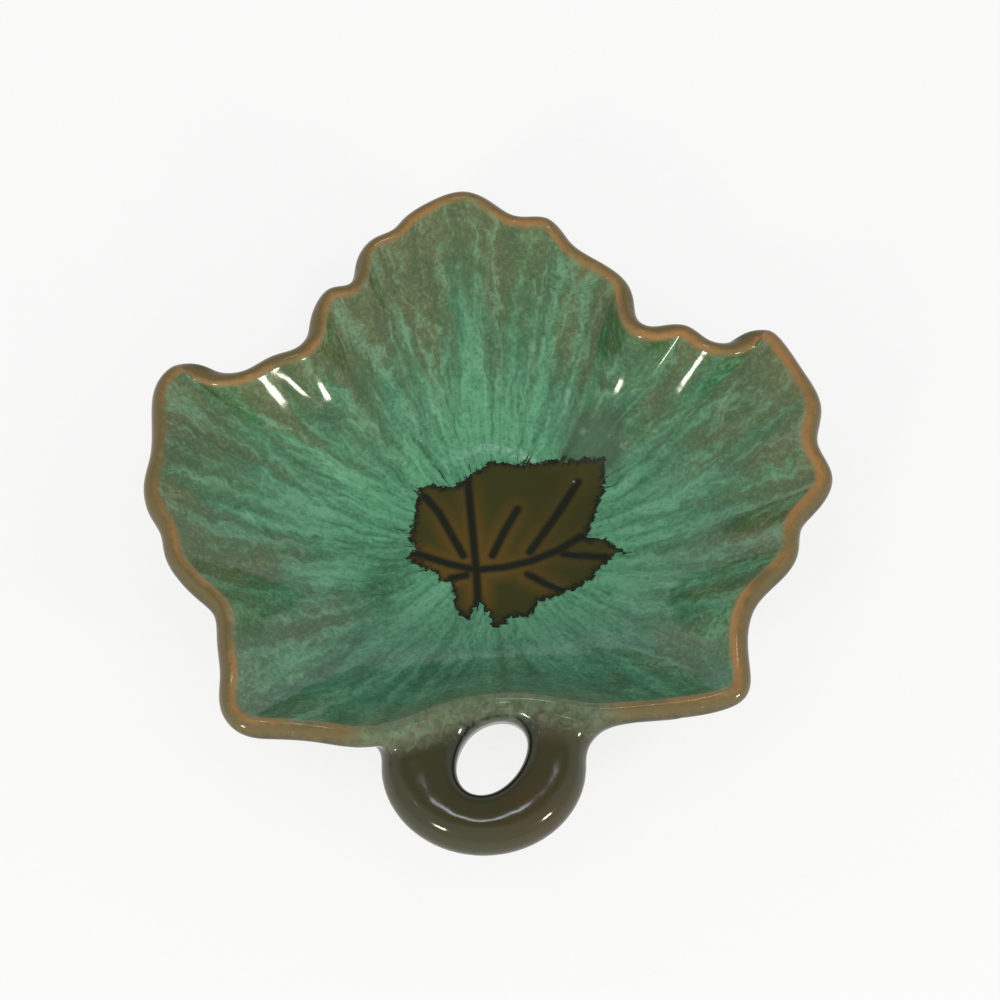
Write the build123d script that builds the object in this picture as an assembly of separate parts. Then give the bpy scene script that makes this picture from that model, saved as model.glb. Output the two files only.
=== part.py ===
"""Leaf-shaped ring dish: a cast stoneware leaf with a finger loop at its stem end.

The dish stands on a low foot and is coated in glaze: green inside, clear amber over the veined
middle, olive brown round the lip, the underside and the loop. The origin is on the table, under the
middle of the dish. +Z is up and +Y points from the loop to the leaf's tip. Units are millimetres.
"""

from build123d import *

import math
import os

# Sizes of the glazed leaf: its width, how far its tip is from its middle, and its height
LEAF_WIDTH = 157.5
LEAF_TIP_REACH = 84.0
RIM_HEIGHT = 35.0

# Clay wall, and the coat of glaze on every side of it
WALL_THICKNESS = 4.0
GLAZE_THICKNESS = 0.5

# The rim drops by this much where the leaf's outline comes closest to its middle
SINUS_DIP = 7.0

# Flat floor inside the dish
FLOOR_RADIUS = 24.0
FLOOR_CENTRE_X = 1.5
FLOOR_CENTRE_Y = -2.5

# Foot ring
FOOT_HEIGHT = 3.0
FOOT_OUTER_RADIUS = 28.0
FOOT_WIDTH = 5.0
FOOT_EDGE_RADIUS = 1.0

# Finger loop: a thick round tongue, tilted down from its root, with an oval finger hole
LOOP_REACH = 31.8
LOOP_HALF_WIDTH = 21.8
LOOP_END_REACH = 19.5
LOOP_CENTRE_X = -1.0
LOOP_THICKNESS = 7.2
LOOP_BELOW_RIM = 2.0
LOOP_TILT_DEGREES = 4.0
LOOP_TOP_EDGE_RADIUS = 4.4
LOOP_LOW_EDGE_RADIUS = 2.4
LOOP_LEFT_CORNER_RADIUS = 6.0
LOOP_RIGHT_CORNER_RADIUS = 12.5
LARGEST_CORNER_SHARE = 0.95
LOOP_ROOT_STEP = 2.0
LOOP_ROOT_INSET = 3.0
LOOP_WEB = 11.5
FINGER_HOLE_WIDTH = 13.6
FINGER_HOLE_LENGTH = 19.6
FINGER_HOLE_TURN_DEGREES = 31.0
FINGER_HOLE_OFFSET = 1.8
FINGER_HOLE_EDGE_RADIUS = 2.0

# Window of amber glaze on the floor, and the leaf veins pressed into it
WINDOW_CENTRE_X = 4.5
WINDOW_CENTRE_Y = -1.5
WINDOW_REACH = 24.0
VEIN_NODE_X = -3.1
VEIN_NODE_Y = -8.4
VEIN_REACH = 24.0
VEIN_WIDTH = 2.2
VEIN_DEPTH = 0.8

# Where the green coat ends on the lip: degrees up from the outermost point of the lip
LIP_SPLIT_DEGREES = 60.0

# How the wall is drawn: a gentle start at the floor, and teeth that fade on the way down
WALL_CURVE_POWER = 1.7
TOOTH_FADE_POWER = 1.2
SAMPLES_ROUND = 120
LOBE_SAMPLES = 9
WALL_SECTIONS = 11
SECTION_GROWTH = 1.22
DIRECTION_STEP_SHARE = 0.001
LIP_INSIDE_DEGREES = (90.0, 75.0)
LIP_OUTSIDE_DEGREES = (30.0, 0.0, -30.0, -60.0, -90.0)
OVERRUN = 5.0

# Middle line of the rim, anticlockwise from the tip of the leaf: shares of its reach in X and in Y
RIM_SHARES = [
    (-0.075, 1.0),
    (-0.195, 0.96),
    (-0.27, 0.90),
    (-0.30, 0.865),
    (-0.36, 0.835),
    (-0.395, 0.79),
    (-0.405, 0.73),
    (-0.435, 0.675),
    (-0.49, 0.665),
    (-0.52, 0.63),
    (-0.535, 0.575),
    (-0.545, 0.505),
    (-0.59, 0.45),
    (-0.655, 0.425),
    (-0.735, 0.375),
    (-0.80, 0.36),
    (-0.865, 0.37),
    (-0.94, 0.39),
    (-0.99, 0.34),
    (-1.0, 0.245),
    (-0.99, 0.15),
    (-0.99, 0.085),
    (-1.0, 0.01),
    (-0.98, -0.075),
    (-0.94, -0.14),
    (-0.92, -0.21),
    (-0.885, -0.265),
    (-0.83, -0.32),
    (-0.765, -0.385),
    (-0.75, -0.465),
    (-0.735, -0.57),
    (-0.725, -0.665),
    (-0.68, -0.71),
    (-0.605, -0.72),
    (-0.48, -0.725),
    (-0.365, -0.735),
    (-0.245, -0.71),
    (-0.115, -0.655),
    (0.025, -0.625),
    (0.15, -0.63),
    (0.275, -0.655),
    (0.415, -0.655),
    (0.555, -0.645),
    (0.65, -0.63),
    (0.71, -0.60),
    (0.72, -0.53),
    (0.72, -0.435),
    (0.75, -0.345),
    (0.82, -0.27),
    (0.88, -0.195),
    (0.895, -0.12),
    (0.96, -0.04),
    (1.0, 0.035),
    (0.965, 0.135),
    (0.985, 0.26),
    (0.945, 0.37),
    (0.90, 0.46),
    (0.85, 0.515),
    (0.77, 0.48),
    (0.71, 0.47),
    (0.665, 0.485),
    (0.60, 0.535),
    (0.50, 0.53),
    (0.46, 0.545),
    (0.43, 0.605),
    (0.42, 0.685),
    (0.315, 0.775),
    (0.245, 0.83),
    (0.175, 0.91),
    (0.09, 0.91),
    (-0.015, 0.975),
]

# Outline of the amber window, about its centre: shares of its reach
WINDOW_SHARES = [
    (-0.92, 0.58),
    (-0.81, 0.69),
    (-0.625, 0.64),
    (-0.48, 0.73),
    (-0.29, 0.85),
    (-0.18, 0.96),
    (0.15, 0.92),
    (0.50, 0.96),
    (0.975, 0.93),
    (0.96, 0.58),
    (0.83, 0.26),
    (0.77, 0.075),
    (0.92, 0.06),
    (1.125, -0.10),
    (0.92, -0.24),
    (0.825, -0.39),
    (0.54, -0.54),
    (0.31, -0.64),
    (0.21, -0.825),
    (0.02, -0.80),
    (-0.12, -0.93),
    (-0.21, -0.76),
    (-0.29, -0.64),
    (-0.41, -0.855),
    (-0.525, -0.69),
    (-0.56, -0.46),
    (-0.74, -0.33),
    (-1.0, -0.16),
    (-0.88, -0.04),
    (-0.98, 0.06),
    (-0.94, 0.29),
]

# Veins in the floor, about the node where the stem meets the leaf: shares of their reach
VEIN_SHARES = {
    "midrib": [(0.02, -0.38), (0.0, 0.0), (-0.05, 0.55), (-0.10, 1.1)],
    "left": [(0.0, 0.0), (-0.25, 0.06), (-0.62, 0.19)],
    "right": [(0.0, 0.0), (0.28, 0.03), (0.545, 0.10), (0.81, 0.22), (1.045, 0.38)],
    "upper_left": [(-0.13, 0.16), (-0.375, 0.645), (-0.52, 0.83)],
    "upper_middle": [(0.16, 0.16), (0.27, 0.42), (0.41, 0.69)],
    "upper_right": [(0.53, 0.20), (0.82, 0.65), (1.02, 1.0)],
    "lower_right": [(0.51, -0.05), (0.68, -0.15), (0.875, -0.24)],
    "far_right": [(0.86, 0.18), (1.04, 0.16), (1.275, 0.14)],
    "lower_left": [(-0.10, -0.06), (-0.245, -0.09)],
}

# Sizes that follow from those above
LIP_RADIUS = WALL_THICKNESS / 2
GLAZED_LIP_RADIUS = LIP_RADIUS + GLAZE_THICKNESS
RIM_REACH_X = LEAF_WIDTH / 2 - GLAZED_LIP_RADIUS
RIM_REACH_Y = LEAF_TIP_REACH - GLAZED_LIP_RADIUS
FLOOR_MIDDLE_Z = FOOT_HEIGHT + LIP_RADIUS
CLAY_FLOOR_Z = FOOT_HEIGHT + WALL_THICKNESS
LOOP_TOP_Z = RIM_HEIGHT - SINUS_DIP - LOOP_BELOW_RIM
TILT_COSINE = math.cos(math.radians(LOOP_TILT_DEGREES))
TILT_SINE = math.sin(math.radians(LOOP_TILT_DEGREES))

# The loop in its own tilted plane, from where it meets the rim line: its end, and the middle of its oval
LOOP_END_ROLL = LOOP_TOP_EDGE_RADIUS * (TILT_COSINE + TILT_SINE - 1)
LOOP_END_Y = -(LOOP_REACH + LOOP_END_ROLL) / TILT_COSINE
LOOP_MIDDLE_Y = LOOP_END_Y + LOOP_END_REACH


class LeafWall:
    """The wall's middle surface: a flat floor that rises to the rim line."""

    def __init__(self):
        line = Edge.make_spline(
            [Vector(x * RIM_REACH_X, y * RIM_REACH_Y) for x, y in RIM_SHARES], periodic=True
        )
        self.count = SAMPLES_ROUND
        self.rim = [line.position_at(i / self.count) for i in range(self.count)]
        self.lobes = [self.smoothed(i) for i in range(self.count)]
        self.floor = [self.floor_point(p) for p in self.lobes]
        reaches = [self.reach(p) for p in self.lobes]
        span = max(reaches) - min(reaches)
        top = RIM_HEIGHT - GLAZED_LIP_RADIUS
        self.rim_z = [top - SINUS_DIP * (max(reaches) - r) / span for r in reaches]

    def smoothed(self, i):
        """The rim line without its teeth: the mean of the samples on both sides."""
        near = [self.rim[(i + k) % self.count] for k in range(-LOBE_SAMPLES, LOBE_SAMPLES + 1)]
        return sum(near, Vector()) / len(near)

    def reach(self, p):
        return math.hypot(p.X - FLOOR_CENTRE_X, p.Y - FLOOR_CENTRE_Y)

    def floor_point(self, p):
        share = FLOOR_RADIUS / self.reach(p)
        x = FLOOR_CENTRE_X + (p.X - FLOOR_CENTRE_X) * share
        y = FLOOR_CENTRE_Y + (p.Y - FLOOR_CENTRE_Y) * share
        return Vector(x, y)

    def middle(self, up, i):
        """The point on the middle surface at sample i, from the floor's edge, 0, to the rim, 1."""
        i %= self.count
        edge = self.lobes[i] + (self.rim[i] - self.lobes[i]) * up**TOOTH_FADE_POWER
        flat = self.floor[i] + (edge - self.floor[i]) * up
        rise = (self.rim_z[i] - FLOOR_MIDDLE_Z) * up**WALL_CURVE_POWER
        return Vector(flat.X, flat.Y, FLOOR_MIDDLE_Z + rise)

    def directions(self, up, i):
        """The surface's normal, into the dish, and the direction up the wall."""
        if up == 0:
            away = (self.floor[i % self.count] - Vector(FLOOR_CENTRE_X, FLOOR_CENTRE_Y)).normalized()
            return Vector(0, 0, 1), away
        climb = self.middle(up, i) - self.middle(up - DIRECTION_STEP_SHARE, i)
        across = self.middle(up, i + 1) - self.middle(up, i - 1)
        normal = climb.cross(across).normalized()
        if normal.Z < 0:
            normal = normal * -1
        climb = (climb - normal * climb.dot(normal)).normalized()
        return normal, climb

    def offset_section(self, up, distance):
        """A closed section at one height, moved along the normal."""
        points = []
        for i in range(self.count):
            normal, _ = self.directions(up, i)
            points.append(self.middle(up, i) + normal * distance)
        return self.closed_wire(points)

    def lip_section(self, degrees, distance):
        """A closed section round the lip, at an angle up from its outermost point."""
        turn = math.radians(degrees)
        points = []
        for i in range(self.count):
            normal, climb = self.directions(1, i)
            points.append(self.middle(1, i) + (normal * math.sin(turn) + climb * math.cos(turn)) * distance)
        return self.closed_wire(points)

    def closed_wire(self, points):
        shares = [i / self.count for i in range(self.count + 1)]
        return Wire([Edge.make_spline(points, periodic=True, parameters=shares)])


def wall_levels():
    """Levels from the floor to just under the rim, closer together near the lip."""
    whole = SECTION_GROWTH**WALL_SECTIONS - 1
    return [1 - (SECTION_GROWTH**k - 1) / whole for k in range(WALL_SECTIONS, 0, -1)]


class WallSkin:
    """One surface round the wall, at a distance from its middle surface, split along the lip."""

    def __init__(self, wall, distance):
        levels = wall_levels()
        inside = [wall.offset_section(up, distance) for up in levels]
        inside += [wall.lip_section(degrees, distance) for degrees in LIP_INSIDE_DEGREES]
        self.split = wall.lip_section(LIP_SPLIT_DEGREES, distance)
        inside.append(self.split)
        outside = [self.split]
        outside += [wall.lip_section(degrees, distance) for degrees in LIP_OUTSIDE_DEGREES]
        outside += [wall.offset_section(up, -distance) for up in reversed(levels)]
        self.inside = Shell.make_loft(inside).faces()
        self.outside = Shell.make_loft(outside).faces()
        self.floor = Face(inside[0])
        self.base = Face(outside[-1])


def closed_solid(*faces):
    return Solid(Shell(ShapeList(faces)))


def filled_dish(wall, skin):
    """The dish with everything above its outer surface filled in, to trim the loop against."""
    top_z = RIM_HEIGHT + OVERRUN
    points = [skin.split.position_at(i / wall.count) for i in range(wall.count)]
    top = wall.closed_wire([Vector(p.X, p.Y, top_z) for p in points])
    riser = Shell.make_loft([skin.split, top], ruled=True)
    return closed_solid(*skin.outside, *riser.faces(), skin.base, Face(top))


def vein_tool():
    """Round-bottomed grooves for the veins, pressed into the clay floor."""
    radius = (VEIN_WIDTH**2 / 4 + VEIN_DEPTH**2) / (2 * VEIN_DEPTH)
    axis_z = CLAY_FLOOR_Z - VEIN_DEPTH + radius
    tools = []
    for shares in VEIN_SHARES.values():
        points = [
            Vector(VEIN_NODE_X + x * VEIN_REACH, VEIN_NODE_Y + y * VEIN_REACH, axis_z)
            for x, y in shares
        ]
        tools += [Pos(*point) * Sphere(radius) for point in points]
        for start, end in zip(points, points[1:]):
            along = Plane(origin=start, z_dir=end - start)
            tools.append(Solid.make_cylinder(radius, (end - start).length, along))
    return tools[0].fuse(*tools[1:])


def window_tool():
    """An upright prism with the outline of the amber window."""
    points = [
        (WINDOW_CENTRE_X + x * WINDOW_REACH, WINDOW_CENTRE_Y + y * WINDOW_REACH)
        for x, y in WINDOW_SHARES
    ]
    face = make_face(Polyline(*points, close=True))
    return extrude(face, RIM_HEIGHT + OVERRUN)


def rim_y_near(wall, x):
    """Where the rim line passes this X on the side of the finger loop."""
    near = [p for p in wall.rim if p.Y < FLOOR_CENTRE_Y]
    return min(near, key=lambda p: abs(p.X - x)).Y


def loop_plan(wall, seat_y, grow):
    """The loop's outline in its own plane: a round tongue that widens into a root under the lip."""
    back_y = LOOP_MIDDLE_Y + LOOP_HALF_WIDTH + LOOP_ROOT_STEP + grow
    half_width = LOOP_HALF_WIDTH + grow
    with BuildSketch() as plan:
        with BuildLine():
            EllipticalCenterArc((0, LOOP_MIDDLE_Y), half_width, LOOP_END_REACH + grow, 180, arc_size=180)
            for side, radius in ((-1, LOOP_LEFT_CORNER_RADIUS), (1, LOOP_RIGHT_CORNER_RADIUS)):
                rim_y = rim_y_near(wall, LOOP_CENTRE_X + side * (LOOP_HALF_WIDTH + radius))
                root_y = (rim_y - seat_y) / TILT_COSINE + LOOP_ROOT_INSET
                corner = min(radius, (root_y - LOOP_MIDDLE_Y) * LARGEST_CORNER_SHARE)
                corner_x = side * (LOOP_HALF_WIDTH + corner)
                end_x = side * (LOOP_HALF_WIDTH + corner + LOOP_ROOT_STEP + grow)
                front_y = root_y - grow
                Line((side * half_width, LOOP_MIDDLE_Y), (side * half_width, root_y - corner))
                CenterArc((corner_x, root_y - corner), corner - grow, 90, side * 90)
                Line((corner_x, front_y), (end_x, front_y))
                Line((end_x, front_y), (end_x, back_y))
                Line((end_x, back_y), (0, back_y))
        make_face()
    return plan.sketch


def finger_hole(grow):
    """The oval finger hole in the loop's own plane, smaller where glaze lines it."""
    half_width = FINGER_HOLE_WIDTH / 2 + GLAZE_THICKNESS
    half_length = FINGER_HOLE_LENGTH / 2 + GLAZE_THICKNESS
    turn = math.radians(FINGER_HOLE_TURN_DEGREES)
    reach = math.hypot(half_length * math.cos(turn), half_width * math.sin(turn))
    centre_y = LOOP_END_Y + LOOP_WEB + reach
    oval = Rot(0, 0, -FINGER_HOLE_TURN_DEGREES) * Ellipse(half_width - grow, half_length - grow)
    return Pos(FINGER_HOLE_OFFSET, centre_y) * oval


def loop_blank(wall, grow):
    """The finger loop before it is fitted to the dish, grown by a coat of glaze."""
    seat_y = rim_y_near(wall, LOOP_CENTRE_X)
    blank = Pos(0, 0, grow) * extrude(loop_plan(wall, seat_y, grow), -(LOOP_THICKNESS + 2 * grow))
    for side, radius in ((-1, LOOP_TOP_EDGE_RADIUS), (0, LOOP_LOW_EDGE_RADIUS)):
        flat = blank.faces().filter_by(Axis.Z).sort_by(Axis.Z)[side]
        root_edges = flat.edges().sort_by(Axis.Y)[-4:]
        blank = fillet([e for e in flat.edges() if e not in root_edges], radius + grow)
    blank -= Pos(0, 0, -RIM_HEIGHT) * extrude(finger_hole(grow), 2 * RIM_HEIGHT)
    flats = blank.faces().filter_by(Axis.Z)
    mouths = [edge for flat in flats for wire in flat.inner_wires() for edge in wire.edges()]
    blank = blank.fillet(FINGER_HOLE_EDGE_RADIUS + grow, mouths)
    seat = Plane((LOOP_CENTRE_X, seat_y, LOOP_TOP_Z), x_dir=(1, 0, 0), z_dir=(0, -TILT_SINE, TILT_COSINE))
    return seat * blank


def foot_blank():
    """The turned foot before it is fitted to the dish, with a rounded edge on the table."""
    ring = Circle(FOOT_OUTER_RADIUS) - Circle(FOOT_OUTER_RADIUS - FOOT_WIDTH)
    foot = extrude(Pos(FLOOR_CENTRE_X, FLOOR_CENTRE_Y) * ring, FOOT_HEIGHT + WALL_THICKNESS)
    return fillet(foot.edges().group_by(Axis.Z)[0], FOOT_EDGE_RADIUS)


def dish_pieces():
    """Every piece of the dish, by the name of its node."""
    wall = LeafWall()
    clay = WallSkin(wall, LIP_RADIUS)
    glaze = WallSkin(wall, GLAZED_LIP_RADIUS)
    lip_band = Shell.make_loft([clay.split, glaze.split], ruled=True).faces()
    bowl = closed_solid(*clay.inside, *clay.outside, clay.floor, clay.base)
    inner_coat = closed_solid(*clay.inside, *glaze.inside, *lip_band, clay.floor, glaze.floor)
    outer_coat = closed_solid(*clay.outside, *glaze.outside, *lip_band, clay.base, glaze.base)
    filled = filled_dish(wall, clay)

    window = window_tool()
    veins = vein_tool() & window
    bare_loop = loop_blank(wall, 0)
    coated_loop = loop_blank(wall, GLAZE_THICKNESS)
    foot = foot_blank().cut(filled)
    return {
        "leaf_bowl": bowl - veins,
        "finger_loop": bare_loop.cut(filled),
        "foot_ring": foot,
        "green_glaze": inner_coat - window,
        "amber_glaze": (inner_coat & window) + (bowl & veins),
        "outer_glaze": outer_coat.cut(coated_loop, foot),
        "loop_glaze": coated_loop.cut(bare_loop, filled),
    }


def main():
    os.makedirs("parts", exist_ok=True)
    for name, shape in dish_pieces().items():
        export_step(shape, f"parts/{name}.step")


if __name__ == "__main__":
    main()
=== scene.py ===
"""The glazes, bare clay and stage of a leaf-shaped stoneware ring dish.

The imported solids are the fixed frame. The glaze coats are built again here on the same wall, finer,
so that they can carry the veins, the flow of the glaze and the smooth joint of the finger loop.
"""

import math

import bpy
import numpy as np
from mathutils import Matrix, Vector
from mathutils.bvhtree import BVHTree
from mathutils.kdtree import KDTree


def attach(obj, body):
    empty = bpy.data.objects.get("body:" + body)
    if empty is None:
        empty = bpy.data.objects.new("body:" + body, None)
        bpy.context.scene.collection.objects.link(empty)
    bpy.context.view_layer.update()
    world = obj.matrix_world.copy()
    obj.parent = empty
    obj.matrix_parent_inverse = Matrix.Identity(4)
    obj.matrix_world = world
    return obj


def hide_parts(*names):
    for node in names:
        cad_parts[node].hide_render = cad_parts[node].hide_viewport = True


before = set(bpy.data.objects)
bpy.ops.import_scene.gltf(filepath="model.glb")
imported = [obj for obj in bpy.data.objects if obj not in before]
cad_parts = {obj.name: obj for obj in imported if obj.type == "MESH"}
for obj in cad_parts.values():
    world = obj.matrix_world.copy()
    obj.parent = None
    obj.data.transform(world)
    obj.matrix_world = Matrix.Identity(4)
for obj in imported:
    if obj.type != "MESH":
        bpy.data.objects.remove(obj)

bl_info = {
    "name": "Leaf ring dish",
    "version": (1, 0, 0),
    "blender": (4, 5, 0),
    "location": "3D View > Sidebar > Ring dish",
    "description": "Builds the glazes of a leaf-shaped ring dish and the stage that it is shown on",
    "category": "Object",
}

MM = 0.001
SINGLE_VALUES = ("lip", "vein", "window", "reach", "stem", "hole")

# Points round the wall, steps between two points of the rim's table, and the step for directions
AROUND = 480
RIM_STEPS = 40
DIRECTION_STEP = 0.001

# How the wall is shaped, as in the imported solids, which have 120 points round it. The rim without
# its teeth is the mean of 9 of these on both sides.
PACKED_AROUND = 120
LOBE_SAMPLES = 9
TOOTH_FADE_POWER = 1.2
WALL_CURVE_POWER = 1.7

# The window and the node of the veins, in millimetres, and how far their shares reach
WINDOW_CENTRE = (4.5, -1.5)
WINDOW_REACH = 24
VEIN_NODE = (-3.1, -8.4)
VEIN_REACH = 24

# Half the width of the dip over a vein, as a share of the vein's width
GROOVE_SHARE = 0.8

# The flow of the glaze is drawn round a ring, so that its patterns close up behind the tip
FLOW_RING = 60 * MM

# Where the loop's glaze runs up over the lip: its middle, half width, upper end and soft edge
STEM_X = -0.8 * MM
STEM_HALF_WIDTH = 31 * MM
STEM_Y = -40 * MM
STEM_FADE = 7 * MM

# The loop: how far a flare may take up its side, how far its root runs on before it is cut, how
# its crown rises, and the roundings of its hole
LARGEST_CORNER_SHARE = 0.95
ROOT_OVERRUN = 8 * MM
CROWN_POWER = 1.5
HOLE_TOP_ROUND = 2.8 * MM
HOLE_LOW_ROUND = 2.5 * MM

# The grid on which the loop's glaze is found, in millimetres
GRID_STEP = 0.6
GRID_LOW = (-44, -87, 9)
GRID_SIZE = (92, 50, 27)

# Where the loop meets the bowl: how near the bowl counts, how deep the blend's edge sinks into its
# glaze, how the blend fades through the wall, and how far from the loop it is cut
BOWL_REACH = 13 * MM
BOWL_SINK = 0.12 * MM
FADE_START = 0.55
FADE_LENGTH = 4.2 * MM
SMALLEST_BLEND = 0.01 * MM
BLEND_CUT = 11 * MM
LIP_SLACK = 1.2 * MM

# The green coat ends at this angle on the lip. A distance of 1 m stands for nowhere near.
SPLIT_DEGREES = 60
FAR = 1.0

# The camera, as fitted to the photo: where it looks, from how far and how steeply, and its lens
CAMERA_TARGET = (2.5, 3.4, 20.0)
CAMERA_DISTANCE = 480 * MM
CAMERA_LIFT = math.radians(60)
SENSOR_WIDTH = 36
LENS_SHARE = 2.052

# The table and the lamps, in metres, and how dark the sky's darker part is
TABLE_REACH = 3.0
LAMP_DISTANCE = 1.2
DARK_SKY_SHARE = 0.35

# Middle line of the rim, anticlockwise from the tip of the leaf: shares of its reach in X and in Y
RIM_SHARES = [
    (-0.075, 1.0), (-0.195, 0.96), (-0.27, 0.90), (-0.30, 0.865), (-0.36, 0.835), (-0.395, 0.79),
    (-0.405, 0.73), (-0.435, 0.675), (-0.49, 0.665), (-0.52, 0.63), (-0.535, 0.575),
    (-0.545, 0.505), (-0.59, 0.45), (-0.655, 0.425), (-0.735, 0.375), (-0.80, 0.36),
    (-0.865, 0.37), (-0.94, 0.39), (-0.99, 0.34), (-1.0, 0.245), (-0.99, 0.15), (-0.99, 0.085),
    (-1.0, 0.01), (-0.98, -0.075), (-0.94, -0.14), (-0.92, -0.21), (-0.885, -0.265),
    (-0.83, -0.32), (-0.765, -0.385), (-0.75, -0.465), (-0.735, -0.57), (-0.725, -0.665),
    (-0.68, -0.71), (-0.605, -0.72), (-0.48, -0.725), (-0.365, -0.735), (-0.245, -0.71),
    (-0.115, -0.655), (0.025, -0.625), (0.15, -0.63), (0.275, -0.655), (0.415, -0.655),
    (0.555, -0.645), (0.65, -0.63), (0.71, -0.60), (0.72, -0.53), (0.72, -0.435), (0.75, -0.345),
    (0.82, -0.27), (0.88, -0.195), (0.895, -0.12), (0.96, -0.04), (1.0, 0.035), (0.965, 0.135),
    (0.985, 0.26), (0.945, 0.37), (0.90, 0.46), (0.85, 0.515), (0.77, 0.48), (0.71, 0.47),
    (0.665, 0.485), (0.60, 0.535), (0.50, 0.53), (0.46, 0.545), (0.43, 0.605), (0.42, 0.685),
    (0.315, 0.775), (0.245, 0.83), (0.175, 0.91), (0.09, 0.91), (-0.015, 0.975),
]

# Outline of the amber window, about its centre: shares of its reach
WINDOW_SHARES = [
    (-0.92, 0.58), (-0.81, 0.69), (-0.625, 0.64), (-0.48, 0.73), (-0.29, 0.85), (-0.18, 0.96),
    (0.15, 0.92), (0.50, 0.96), (0.975, 0.93), (0.96, 0.58), (0.83, 0.26), (0.77, 0.075),
    (0.92, 0.06), (1.125, -0.10), (0.92, -0.24), (0.825, -0.39), (0.54, -0.54), (0.31, -0.64),
    (0.21, -0.825), (0.02, -0.80), (-0.12, -0.93), (-0.21, -0.76), (-0.29, -0.64), (-0.41, -0.855),
    (-0.525, -0.69), (-0.56, -0.46), (-0.74, -0.33), (-1.0, -0.16), (-0.88, -0.04), (-0.98, 0.06),
    (-0.94, 0.29),
]

# Veins pressed into the floor, about the node where the stem meets the leaf: shares of their reach
VEIN_SHARES = [
    [(0.02, -0.38), (0.0, 0.0), (-0.05, 0.55), (-0.10, 1.1)],
    [(0.0, 0.0), (-0.25, 0.06), (-0.62, 0.19)],
    [(0.0, 0.0), (0.28, 0.03), (0.545, 0.10), (0.81, 0.22), (1.045, 0.38)],
    [(-0.13, 0.16), (-0.375, 0.645), (-0.52, 0.83)],
    [(0.16, 0.16), (0.27, 0.42), (0.41, 0.69)],
    [(0.53, 0.20), (0.82, 0.65), (1.02, 1.0)],
    [(0.51, -0.05), (0.68, -0.15), (0.875, -0.24)],
    [(0.86, 0.18), (1.04, 0.16), (1.275, 0.14)],
    [(-0.10, -0.06), (-0.245, -0.09)],
]


def linear(code):
    """The linear colour of an sRGB hex code."""
    parts = [int(code[i : i + 2], 16) / 255 for i in (1, 3, 5)]
    return [p / 12.92 if p <= 0.04045 else ((p + 0.055) / 1.055) ** 2.4 for p in parts] + [1.0]


def number(words, note, default, **options):
    return bpy.props.FloatProperty(name=words, description=note, default=default, **options)


def length(words, note, millimetres):
    return number(words, note, millimetres * MM, unit="LENGTH")


def colour(words, note, code):
    return bpy.props.FloatVectorProperty(
        name=words, description=note, default=linear(code), subtype="COLOR", size=4, min=0, max=1
    )


class DishShape(bpy.types.PropertyGroup):
    """Sizes of the leaf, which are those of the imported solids."""

    leaf_width: length("Leaf width", "Width over the glazed lip", 157.5)
    tip_reach: length("Tip reach", "From the middle of the dish to the leaf's tip", 84.0)
    rim_height: length("Rim height", "Highest point of the glazed lip", 35.0)
    sinus_dip: length("Sinus dip", "How far the rim drops between the lobes", 7.0)
    lip_radius: length("Lip radius", "Half the thickness of the glazed wall", 2.5)
    floor_radius: length("Floor radius", "Radius of the flat floor", 24.0)
    floor_x: length("Floor X", "Centre of the floor", 1.5)
    floor_y: length("Floor Y", "Centre of the floor", -2.5)
    floor_z: length("Floor level", "Height of the middle of the floor's thickness", 5.0)
    coat: length("Coat", "Thickness of the glaze", 0.5)
    vein_width: length("Vein width", "Width of the veins pressed into the floor", 2.2)
    vein_depth: length("Vein depth", "How far the glaze dips over a vein", 0.1)


class LoopShape(bpy.types.PropertyGroup):
    """Sizes of the finger loop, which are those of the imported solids."""

    centre_x: length("Centre X", "Middle of the loop", -1.0)
    reach: length("Reach", "From the rim line to the end of the loop", 31.8)
    half_width: length("Half width", "Half the width of the loop", 21.8)
    end_reach: length("End reach", "Length of the loop's rounded end", 19.5)
    thickness: length("Thickness", "Thickness of the clay", 7.2)
    below_rim: length("Below rim", "From the lowest lip to the loop's top", 2.0)
    top_round: length("Top rounding", "Radius of the upper edge", 4.4)
    low_round: length("Low rounding", "Radius of the lower edge", 2.4)
    hole_width: length("Hole width", "Width of the finger hole", 13.6)
    hole_length: length("Hole length", "Length of the finger hole", 19.6)
    hole_web: length("Hole web", "Clay between the hole and the loop's end", 11.5)
    hole_offset: length("Hole offset", "How far the hole is off the loop's middle", 1.8)
    left_corner: length("Left corner", "Flare where the loop's left side meets the bowl", 6.0)
    right_corner: length("Right corner", "Flare where the loop's right side meets the bowl", 12.5)
    root_inset: length("Root inset", "How far the loop's root is tucked under the lip", 3.0)
    root_step: length("Root step", "How far the root goes on beyond the flares", 2.0)
    crown: length("Crown", "How far the glaze bulges between the hole and the edge", 0.8)
    left_blend: length("Left blend", "How softly the loop's left side runs into the bowl", 4.0)
    right_blend: length("Right blend", "How softly the loop's right side runs into the bowl", 8.0)
    tilt: number("Tilt", "How far the loop leans down", math.radians(4), subtype="ANGLE")
    hole_turn: number("Hole turn", "Slant of the hole", math.radians(31), subtype="ANGLE")


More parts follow.
